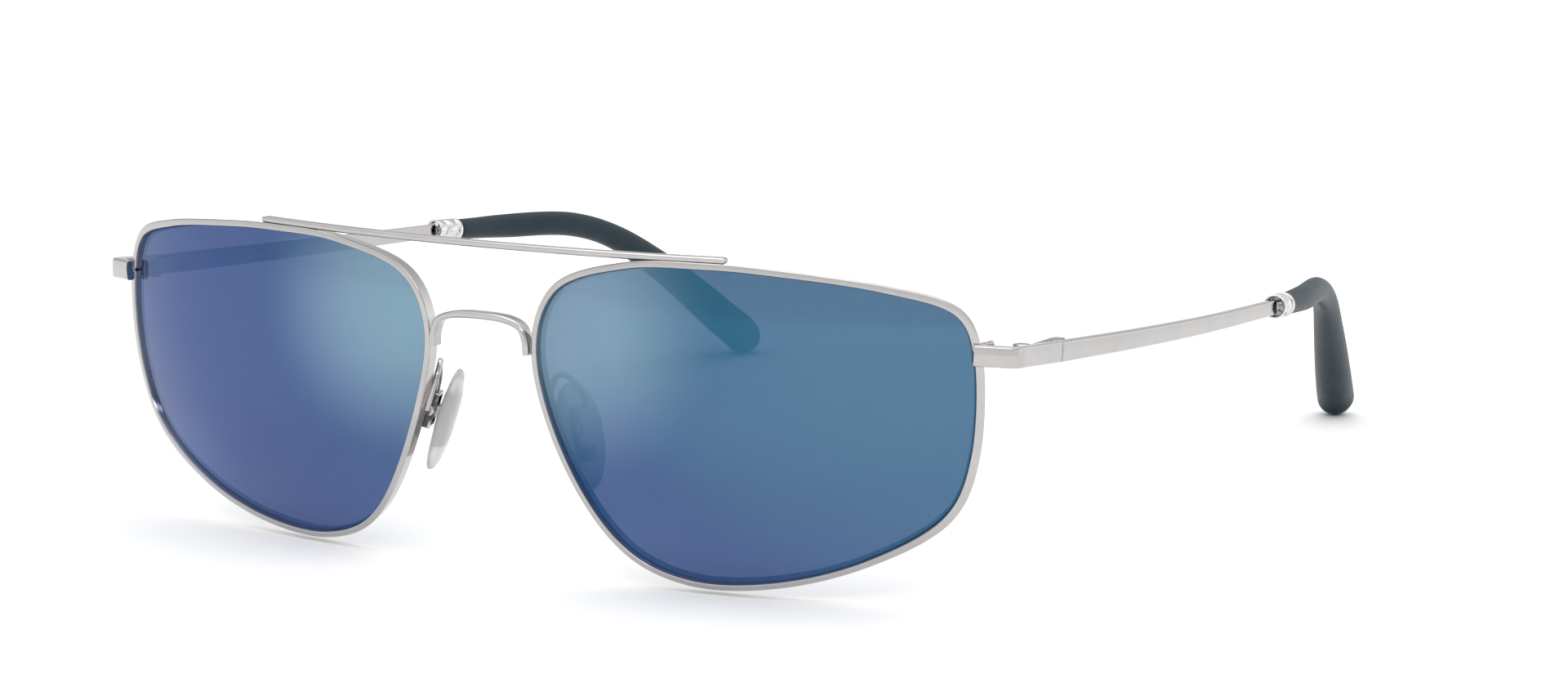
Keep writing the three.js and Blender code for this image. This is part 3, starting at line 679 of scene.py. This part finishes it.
def make_lenses():
    """A shell between two spheres with a bevelled edge that fills the rim's groove."""
    seat = -GAP
    edge = [
        (seat, -LENS_SETBACK), (seat, GROOVE_TOP - GAP),
        (GROOVE_DEPTH - 1.8 * GAP, (GROOVE_TOP + GROOVE_BOTTOM) / 2), (seat, GROOVE_BOTTOM + GAP),
    ]
    edge_rings = [[o + x * across + y * along for o, x, y, _ in OPENING] for across, along in edge]
    centre = on_rim_front(Vector((LENS_MIDDLE[0], 0, LENS_MIDDLE[1])))
    face = RIM_RADIUS - LENS_SETBACK
    steps = 26
    scales = [math.sin(i / steps * math.pi / 2) for i in range(1, steps)]

    def face_ring(scale, radius):
        return [to_radius(centre.lerp(p, scale), radius) for p in edge_rings[0]]

    front = [face_ring(s, face) for s in scales]
    back = [face_ring(s, face - LENS_THICKNESS) for s in [1.0, *reversed(scales)]]
    rings = [*front, *edge_rings, *back]
    count = len(OPENING)
    points = [p for ring in rings for p in ring]
    points += [to_radius(centre, face), to_radius(centre, face - LENS_THICKNESS)]
    faces = []
    for i in range(len(rings) - 1):
        for j in range(count):
            k = (j + 1) % count
            here, following = i * count, (i + 1) * count
            faces.append((here + j, here + k, following + k, following + j))
    last = (len(rings) - 1) * count
    for j in range(count):
        k = (j + 1) % count
        faces.append((len(points) - 2, k, j))
        faces.append((len(points) - 1, last + j, last + k))
    lens = mesh_object("lens", points, faces)
    for polygon in lens.data.polygons:
        outward = (polygon.center - LENS_SPHERE).normalized()
        radius = (polygon.center - LENS_SPHERE).length
        on_face = abs(radius - face) < 0.02 and polygon.normal.dot(outward) > 0.9
        polygon.material_index = 0 if on_face else 1
    pair(lens, "lens", "lens", [COAT, PLASTIC], flat_weight=False)


# ---------- brow bar and nose bridge ----------

def make_brow_bar():
    steps = 180
    end_round = 0.7
    frames = []
    for i in range(steps + 1):
        x = BROW_HALF_SPAN * math.cos(math.pi * i / steps)
        away = (x / BROW_HALF_SPAN) ** 2
        back = Vector((-2 * BROW_BOW * x / BROW_HALF_SPAN ** 2, 1, 0)).normalized()
        inset = max(0.0, abs(x) - BROW_HALF_SPAN + end_round) / end_round
        scale = math.sqrt(1 - 0.82 * inset ** 2)
        origin = Vector((x, BROW_Y + BROW_BOW * away, BROW_Z + BROW_LIFT * away))
        frames.append((origin, back, UP, (scale, scale)))
    profile = rounded(chamfered(BROW_DEPTH, BROW_HEIGHT, 0.2), 0.06, 3)
    bar = sweep("bar", profile, frames)
    finish(bar, "brow_bar_strip", "front", "brow_bar", SATIN)


def make_bridge():
    arch = Path(smooth_points(vectors(
        (-7.2, 0, 7.6), (-7.05, 0, 9.4), (-6.3, 0, 11.05), (-4.5, 0, 11.85), (0, 0, 12.15),
        (4.5, 0, 11.85), (6.3, 0, 11.05), (7.05, 0, 9.4), (7.2, 0, 7.6),
    )))
    back = Vector((0, 1, 0))
    steps = 160
    frames = []
    for i in range(steps + 1):
        origin = arch.at(i / steps)
        origin.y = BRIDGE_Y
        outward = arch.tangent(i / steps).cross(back).normalized()
        frames.append((origin, back, outward, (1.0, 1.0)))
    profile = rounded(chamfered(BRIDGE_DEPTH, BRIDGE_HEIGHT, 0.22), 0.07, 3)
    arch_strip = sweep("bridge", profile, eased_ends(frames))
    finish(arch_strip, "bridge_strip", "front", "nose_bridge", SATIN)


# ---------- end pieces and closing blocks ----------

def strip_path():
    start, corner, end = vectors((69.6, 14.5, 10.85), (70.35, 14.95, 10.8), (70.42, 15.9, 10.75))
    bend = [start * (1 - t) ** 2 + corner * 2 * t * (1 - t) + end * t * t
            for t in (k / 40 for k in range(41))]
    first = Vector((65.6, 12.4, END_PIECE_Z))
    last = Vector((70.2, JOINT_Y - GAP, JOINT_Z))
    lead = [first.lerp(start, k / 20) for k in range(20)]
    tail = [end.lerp(last, k / 40) for k in range(1, 41)]
    return Path(lead + bend + tail)


def make_end_pieces():
    path = strip_path()
    steps = 150
    frames = [upright_frame(path, i / steps) for i in range(steps + 1)]
    profile = rounded(strip_profile(STRIP_THICKNESS, STRIP_HEIGHT), 0.1, 4)
    strip = sweep("strip", profile, eased_ends(frames, 0.08))
    pair(strip, "end_piece", "end_piece", SATIN)


def lock_matrix():
    origin, x, y, _ = rim_frame(0)
    z = x.cross(-y)
    basis = Matrix((x, -y, z)).transposed().to_4x4()
    return Matrix.Translation(origin) @ basis


def lock_half(low, high):
    plan = [
        (LOCK_INNER, 0.3), (LOCK_OUTER, 0.84), (LOCK_OUTER, LOCK_REAR), (LOCK_INNER, LOCK_REAR),
    ]
    rings = [[Vector((x, y, z)) for x, y in plan] for z in (low, high)]
    block = loft("block", rings)
    return cut(block, post(LOCK_SCREW_RADIUS + RUN_GAP, low - 1, high + 1, LOCK_SCREW_AT))


def slotted_screw(radius, head_radius, head_height, length, slot):
    """A turned screw along Z with its head at the top."""
    top = head_height
    profile = [
        (0, -length), (radius * 0.7, -length), (radius, -length + radius * 0.3), (radius, 0),
        (head_radius * 0.94, 0), (head_radius, top * 0.1), (head_radius, top * 0.6),
        (head_radius * 0.93, top * 0.82), (head_radius * 0.8, top), (0, top),
    ]
    groove = box((head_radius * 3, slot, top), (0, 0, top * 0.95))
    return eased(cut(lathe(profile, 48), groove), 0.02, 2)


def make_locks():
    place = lock_matrix()
    upper = eased(lock_half(GAP, LOCK_HALF_HEIGHT), 0.1)
    pair(moved(upper, place), "lock_upper", "rim_lock_upper", SATIN)
    seat_radius, seat_depth = LOCK_SEAT
    seat_top = seat_depth - LOCK_HALF_HEIGHT
    seat = post(seat_radius, -LOCK_HALF_HEIGHT - 1, seat_top, LOCK_SCREW_AT)
    lower = eased(cut(lock_half(-LOCK_HALF_HEIGHT, -GAP), seat), 0.08)
    pair(moved(lower, place), "lock_lower", "rim_lock_lower", SATIN)
    head = 0.3
    screw = slotted_screw(LOCK_SCREW_RADIUS, LOCK_HEAD_RADIUS, head, LOCK_SCREW_LENGTH, 0.18)
    under = Matrix.Translation((*LOCK_SCREW_AT, head - LOCK_HALF_HEIGHT))
    screw = moved(screw, place @ under @ Matrix.Rotation(math.pi, 4, "X"))
    pair(screw, "lock_screw", "rim_lock_screw", TURNED)


# ---------- hinges ----------

def hinge_hole():
    return moved(post(HINGE_SCREW_RADIUS + RUN_GAP, -5, 5), Matrix.Translation(HINGE))


def knuckle(low, high):
    return moved(post(HINGE_RADIUS, low, high), Matrix.Translation(HINGE))


def span_box(low, high):
    """A box between two opposite corners."""
    size = [b - a for a, b in zip(low, high)]
    return box(size, [(a + b) / 2 for a, b in zip(low, high)])


def make_front_leaves():
    half = HINGE_HEIGHT / 2
    low, high = HINGE.z - half, HINGE.z + half
    start, end = FRONT_LEAF_Y
    plate = span_box((LEAF_INNER, start, low), (LEAF_OUTER, end, high))
    web_y = HINGE.y - 0.1
    web = span_box((HINGE.x, web_y - 0.95, low), (LEAF_INNER + 0.1, web_y + 0.95, high))
    slot = box((4, 20, HINGE_MIDDLE + 2 * RUN_GAP), (LEAF_INNER - 2.02, HINGE.y, HINGE.z))
    sink = post(HINGE_HEAD_RADIUS + 0.08, half - HINGE_SINK, half + 1)
    leaf = join(plate, web, knuckle(-half, half))
    cut(leaf, slot, moved(sink, Matrix.Translation(HINGE)), hinge_hole())
    pair(eased(leaf, 0.05), "hinge_front_leaf", "hinge_front_leaf", MILLED)


def make_rear_leaves():
    half = HINGE_MIDDLE / 2
    inner = HINGE.x + 0.1
    end = REAR_LEAF_END
    middle = HINGE.z - REAR_LEAF_DROP
    low, high = middle - REAR_LEAF_HEIGHT / 2, middle + REAR_LEAF_HEIGHT / 2
    neck = span_box((inner, HINGE.y, HINGE.z - half), (ARM_OUTER, HINGE.y + 3, HINGE.z + half))
    arm = span_box((inner, HINGE.y + HINGE_RADIUS + 0.35, low), (ARM_OUTER, end, high))
    plate = span_box((inner, JOINT_Y + 0.15, low), (REAR_LEAF_OUTER, end, high))
    turn = Matrix.Translation((inner - 1.2, end + 0.2, middle)) @ Matrix.Rotation(-0.5, 4, "Z")
    wedge = moved(box((3, 6, 4), (0, 0, 0)), turn)
    leaf = cut(join(knuckle(-half, half), neck, arm, plate), wedge, hinge_hole())
    pair(eased(leaf, 0.05), "hinge_rear_leaf", "hinge_rear_leaf", MILLED, "temple")


def make_hinge_screws():
    length = HINGE_HEIGHT - 0.15
    screw = slotted_screw(HINGE_SCREW_RADIUS, HINGE_HEAD_RADIUS, 0.3, length, 0.2)
    lift = HINGE + UP * (HINGE_HEIGHT / 2 - HINGE_SINK + GAP)
    pair(moved(screw, Matrix.Translation(lift)), "hinge_screw", "hinge_screw", TURNED)


# ---------- temples ----------

# From the collar to the tip's end. These points too come from a curve fit, rounded.
TIP_PATH = Path(smooth_points(vectors(
    (70.55, 93, 5.72), (69.7, TIP_Y, 5.25), (68.15, 108.4, 4.55), (64.4, 122.7, 3.26),
    (61.9, 131.4, 0.32), (58.6, 141, -5.85), (54.75, 152.4, -15.1), (53.15, 157.3, -19.15),
    (52.9, 158.9, -21.6),
)))


def tip_share(y):
    """How far along the tip's path it reaches a depth."""
    low, high = 0.0, 1.0
    for _ in range(40):
        middle = (low + high) / 2
        if TIP_PATH.at(middle).y < y:
            low = middle
        else:
            high = middle
    return low


def make_temple_bars():
    path = Path(smooth_points(vectors(
        (70.15, JOINT_Y + GAP, JOINT_Z), (70.95, 48, 8.24), (71.15, 70, 6.85),
        (70.5, BAR_END_Y, 5.65),
    )))
    steps = 220
    shares = [i / steps for i in range(steps + 1)]
    thinning, lowering = BAR_TAPER
    frames = [upright_frame(path, t, (1 - thinning * t, 1 - lowering * t)) for t in shares]
    profile = rounded(strip_profile(BAR_THICKNESS, BAR_HEIGHT), 0.1, 4)
    bar = sweep("bar", profile, eased_ends(frames, 0.08))
    stub = eased(box(STUB, (70.45, BAR_END_Y + 0.1, 5.66)), 0.12)
    reach = tip_share(CORE_END_Y)
    along = [upright_frame(TIP_PATH, reach * i / 30) for i in range(31)]
    core = sweep("core", oval(CORE_RADIUS, CORE_RADIUS, 24), along)
    pair(join_loose(bar, stub, core), "temple_bar", "temple_bar", SATIN, "temple")


def join_loose(*bodies):
    """One object of several closed bodies that run into each other."""
    work = bmesh.new()
    for item in bodies:
        work.from_mesh(item.data)
    for item in bodies[1:]:
        bpy.data.objects.remove(item)
    work.to_mesh(bodies[0].data)
    work.free()
    return bodies[0]


def collar_matrix():
    """Where a piece turned round Z, measured from the front of the frame, stands."""
    share = tip_share((FERRULE_Y[0] + FERRULE_Y[1]) / 2)
    origin, side, up, _ = upright_frame(TIP_PATH, share)
    along = up.cross(side)
    basis = Matrix((side, up, -along)).transposed().to_4x4()
    flip = Matrix.Scale(-1, 4, UP)
    return Matrix.Translation(origin) @ basis @ flip @ Matrix.Translation(UP * -origin.y)


def make_collars():
    place = collar_matrix()
    front, floor, rear = RING_Y
    bevel = 0.12
    cup = lathe([
        (0, floor), (RING_BORE - 0.1, floor), (RING_BORE, floor - 0.1), (RING_BORE, front + 0.06),
        (RING_BORE + 0.06, front), (RING_RADIUS - bevel, front),
        (RING_RADIUS - 0.03, front + 0.04), (RING_RADIUS, front + bevel),
        (RING_RADIUS, rear - 0.04), (RING_RADIUS - 0.04, rear), (0, rear),
    ], 96)
    tidy(moved(cup, place))
    pair(cup, "collar_ring", "collar_ring", POLISHED, "temple")
    start, end = FERRULE_Y
    groove, flange = end - 1.1, end - 0.8
    body = lathe([
        (0, start), (RING_RADIUS - 0.05, start), (RING_RADIUS, start + 0.05),
        (FLANGE_RADIUS - 0.06, groove - 0.05), (FLANGE_RADIUS - 0.1, groove),
        (FLANGE_RADIUS - 0.25, groove + 0.02), (FLANGE_RADIUS - 0.25, flange - 0.02),
        (FLANGE_RADIUS - 0.06, flange), (FLANGE_RADIUS, flange + 0.06), (FLANGE_RADIUS, end - 0.12),
        (FLANGE_RADIUS - 0.04, end - 0.03), (FLANGE_RADIUS - 0.12, end), (0, end),
    ], 96)
    tidy(moved(body, place))
    pair(body, "ferrule", "tip_ferrule", POLISHED, "temple")


def make_tips():
    """A soft sleeve that thickens from the flange to its round end."""
    start = tip_share(TIP_Y + 0.02)
    end_round = TIP_END_ROUND / TIP_PATH.length
    body_steps, end_steps = 150, 22
    shares = [start + (1 - start - end_round) * i / body_steps for i in range(body_steps)]
    turns = (i / end_steps * math.pi / 2 for i in range(end_steps + 1))
    shares += [1 - end_round * (1 - math.sin(turn)) for turn in turns]
    frames = []
    for share in shares:
        origin, side, up, _ = upright_frame(TIP_PATH, share)
        over = max(0.0, share - 1 + end_round) / end_round
        close = max(math.sqrt(max(0.0, 1 - over ** 2)), 0.03)
        lip = 1 - 0.05 * (1 - smoothstep((share - start) * TIP_PATH.length, 0, 0.25))
        growth = smoothstep(origin.y, 127, 158)
        half_width = TIP_RADIUS + 0.17 * smoothstep(origin.y, 100, 124) + 1.05 * growth
        half_height = TIP_RADIUS + 0.3 * smoothstep(origin.y, 99, 113) + 1.15 * growth
        frames.append((origin, side, up, (half_width * close * lip, half_height * close * lip)))
    tip = sweep("tip", oval(1, 1, 64), frames)
    pair(tip, "tip_sleeve", "temple_tip", RUBBER, "temple", flat_weight=False)


# ---------- nose pads ----------

def pad_matrix():
    """Pad axes: x along its width, y along its height, z towards the rim."""
    width = Vector((math.sin(PAD_SPLAY), math.cos(PAD_SPLAY), 0))
    aside = Vector((math.cos(PAD_SPLAY), -math.sin(PAD_SPLAY), 0))
    height = UP * math.cos(PAD_LEAN) - aside * math.sin(PAD_LEAN)
    normal = aside * math.cos(PAD_LEAN) + UP * math.sin(PAD_LEAN)
    return Matrix.Translation(PAD_CENTRE) @ Matrix((width, height, normal)).transposed().to_4x4()


def across_post(radius, low, high, y, z):
    """A post along the pad's width."""
    turn = Matrix.Translation((0, y, z)) @ Matrix.Rotation(math.pi / 2, 4, "Y")
    return moved(post(radius, low, high), turn)


def make_pads():
    place = pad_matrix()
    stations = 70
    rings = []
    for i in range(stations):
        along = -math.cos(math.pi * (i + 0.35) / (stations - 0.3))
        fullness = math.sqrt(1 - along ** 2)
        half_width = PAD_HALF_WIDTH * fullness * (1 + 0.1 * along)
        rings.append([
            Vector((half_width * x, PAD_HALF_HEIGHT * along,
                    fullness ** 0.8 * (PAD_BACK if y > 0 else PAD_FACE) * y))
            for x, y in oval(1, 1, 64)
        ])
    pad = moved(loft("pad", rings), place)
    pair(pad, "pad_silicone", "nose_pad", SILICONE, "pad", flat_weight=False)

    plate = box(PLATE, (0, BOX_MIDDLE - 0.6, PLATE_DEPTH))
    boss_length = BOSS_END - PLATE_DEPTH
    boss_centre = (0, BOX_MIDDLE, PLATE_DEPTH + boss_length / 2)
    boss = box((BOSS_SIDE, BOSS_SIDE, boss_length), boss_centre)
    hole = across_post(PAD_SCREW_RADIUS + RUN_GAP, -3, 3, BOX_MIDDLE, SCREW_DEPTH)
    core = cut(join(plate, boss), hole)
    pair(moved(eased(core, 0.1), place), "pad_core_plate", "pad_core", MILLED, "pad")


def make_pad_boxes():
    place = pad_matrix()
    width, height, depth = PAD_BOX_SIZE
    middle = PAD_BOX_FRONT + depth / 2
    shell = box(PAD_BOX_SIZE, (0, BOX_MIDDLE, middle))
    room_size = (width - 2 * PAD_BOX_WALL, height - 2 * PAD_BOX_WALL, depth)
    room = box(room_size, (0, BOX_MIDDLE, middle - 0.3))
    hole = across_post(PAD_SCREW_RADIUS + RUN_GAP, -3, 3, BOX_MIDDLE, SCREW_DEPTH)
    pan = eased(cut(shell, room, hole), 0.12)
    pair(moved(pan, place), "pad_pan", "pad_box", SATIN)
    screw = slotted_screw(PAD_SCREW_RADIUS, PAD_HEAD_RADIUS, 0.35, width + 0.1, 0.15)
    beside = Matrix.Translation((-width / 2 - GAP, BOX_MIDDLE, SCREW_DEPTH))
    screw = moved(screw, place @ beside @ Matrix.Rotation(-math.pi / 2, 4, "Y"))
    pair(screw, "pad_pin_screw", "pad_screw", TURNED)


def make_pad_arms():
    """A wire from the back of the rim, up, over and down to the pan."""
    place = pad_matrix()
    box_top = place @ Vector((0, BOX_MIDDLE + PAD_BOX_SIZE[1] / 2 + GAP, 2.15))
    above_box = place @ Vector((0, BOX_MIDDLE + PAD_BOX_SIZE[1] / 2 + 1.6, 2.25))
    path = Path(smooth_points([
        *vectors((9.95, 3.3, -1.6), (9.45, 3.7, 0.6), (9.0, 4.6, 3.2)),
        *vectors((9.3, 5.7, 4.5), (10.1, 6.8, 4.2)),
        above_box, box_top,
    ]))
    steps = 120
    x = path.tangent(0).cross(Vector((1, 0, 0))).normalized()
    frames = []
    for i in range(steps + 1):
        tangent = path.tangent(i / steps)
        x = (x - tangent * x.dot(tangent)).normalized()
        frames.append((path.at(i / steps), x, tangent.cross(x).normalized(), (1.0, 1.0)))
    arm = sweep("arm", oval(ARM_RADIUS, ARM_RADIUS, 28), frames)
    pair(arm, "pad_arm_wire", "pad_arm", SATIN, flat_weight=False)


# ---------- studio ----------

def make_camera():
    """The view from the front and the wearer's left, a little above the frame."""
    eye = LAYOUT + Vector((309.27, -456.35, 106.9)) * MM
    back = Vector((0.49215, -0.85243, 0.17648)).normalized()
    right = UP.cross(back).normalized()
    above = back.cross(right)
    data = bpy.data.cameras.new("camera")
    data.sensor_width = 36
    data.lens = 100
    data.clip_start = 0.01
    camera = bpy.data.objects.new("camera", data)
    turn = Matrix((right, above, back)).transposed().to_4x4()
    camera.matrix_world = Matrix.Translation(eye) @ turn
    bpy.context.scene.collection.objects.link(camera)
    bpy.context.scene.camera = camera


def make_floor():
    reach = 6.0
    corners = [(-reach, -reach, 0), (reach, -reach, 0), (reach, reach, 0), (-reach, reach, 0)]
    floor = mesh_object("floor", corners, [(0, 1, 2, 3)])
    look = Look("floor_paper")
    tone = look.ramp(look.noise(30, 3), (0.3, (0.93, 0.93, 0.93)), (0.7, (0.95, 0.95, 0.95)))
    look.link(tone, look.shader.inputs["Base Color"])
    look.set(Roughness=0.9)
    floor.data.materials.append(look.material)
    floor.data.transform(Matrix.Translation((0, 0, -0.00005)))


def softbox(name, place, target, size, power):
    data = bpy.data.lights.new(name, "AREA")
    data.shape = "RECTANGLE"
    data.size, data.size_y = size
    data.energy = power
    light = bpy.data.objects.new(name, data)
    toward = (Vector(target) - Vector(place)).normalized()
    turn = toward.to_track_quat("-Z", "Y").to_matrix().to_4x4()
    light.matrix_world = Matrix.Translation(place) @ turn
    bpy.context.scene.collection.objects.link(light)


def make_studio():
    """Soft light from all round, brighter overhead and behind on the wearer's left. The camera
    sees plain white behind the floor."""
    world = bpy.data.worlds.new("studio")
    bpy.context.scene.world = world
    world.use_nodes = True
    sky = Graph(world.node_tree)
    background = sky.tree.nodes["Background"]
    parts = sky.node("ShaderNodeSeparateXYZ")
    sky.link(sky.node("ShaderNodeTexCoord").outputs["Generated"], parts.inputs["Vector"])
    stops = ((0.0, 0.65), (0.12, 0.6), (0.4, 0.42), (0.7, 0.6), (0.92, 1.0))
    glow = sky.ramp(parts.outputs["Z"], *((height, (grey,) * 3) for height, grey in stops))
    seen = sky.node("ShaderNodeMix", data_type="RGBA")
    sky.link(sky.node("ShaderNodeLightPath").outputs["Is Camera Ray"], seen.inputs["Factor"])
    sky.link(glow, seen.inputs["A"])
    seen.inputs["B"].default_value = (1, 1, 1, 1)
    sky.link(seen.outputs["Result"], background.inputs["Color"])
    behind = sky.maths("MAXIMUM", parts.outputs["Y"], 0.0)
    aside = sky.maths("MULTIPLY", parts.outputs["X"], behind)
    sky.link(sky.maths("MULTIPLY_ADD", aside, 1.5, 1.8), background.inputs["Strength"])
    softbox("top_softbox", (-0.3, -0.2, 1.4), (0, 0, 0), (0.9, 0.9), 1.5)
    softbox("front_softbox", (0.45, -0.75, 0.6), (0, 0.05, 0.03), (0.6, 0.15), 1.2)
    bpy.context.scene.view_settings.view_transform = "Standard"


make_rims()
make_lenses()
make_brow_bar()
make_bridge()
make_end_pieces()
make_locks()
make_front_leaves()
make_rear_leaves()
make_hinge_screws()
make_temple_bars()
make_collars()
make_tips()
make_pads()
make_pad_boxes()
make_pad_arms()
make_floor()
make_studio()
make_camera()

bpy.context.view_layer.update()
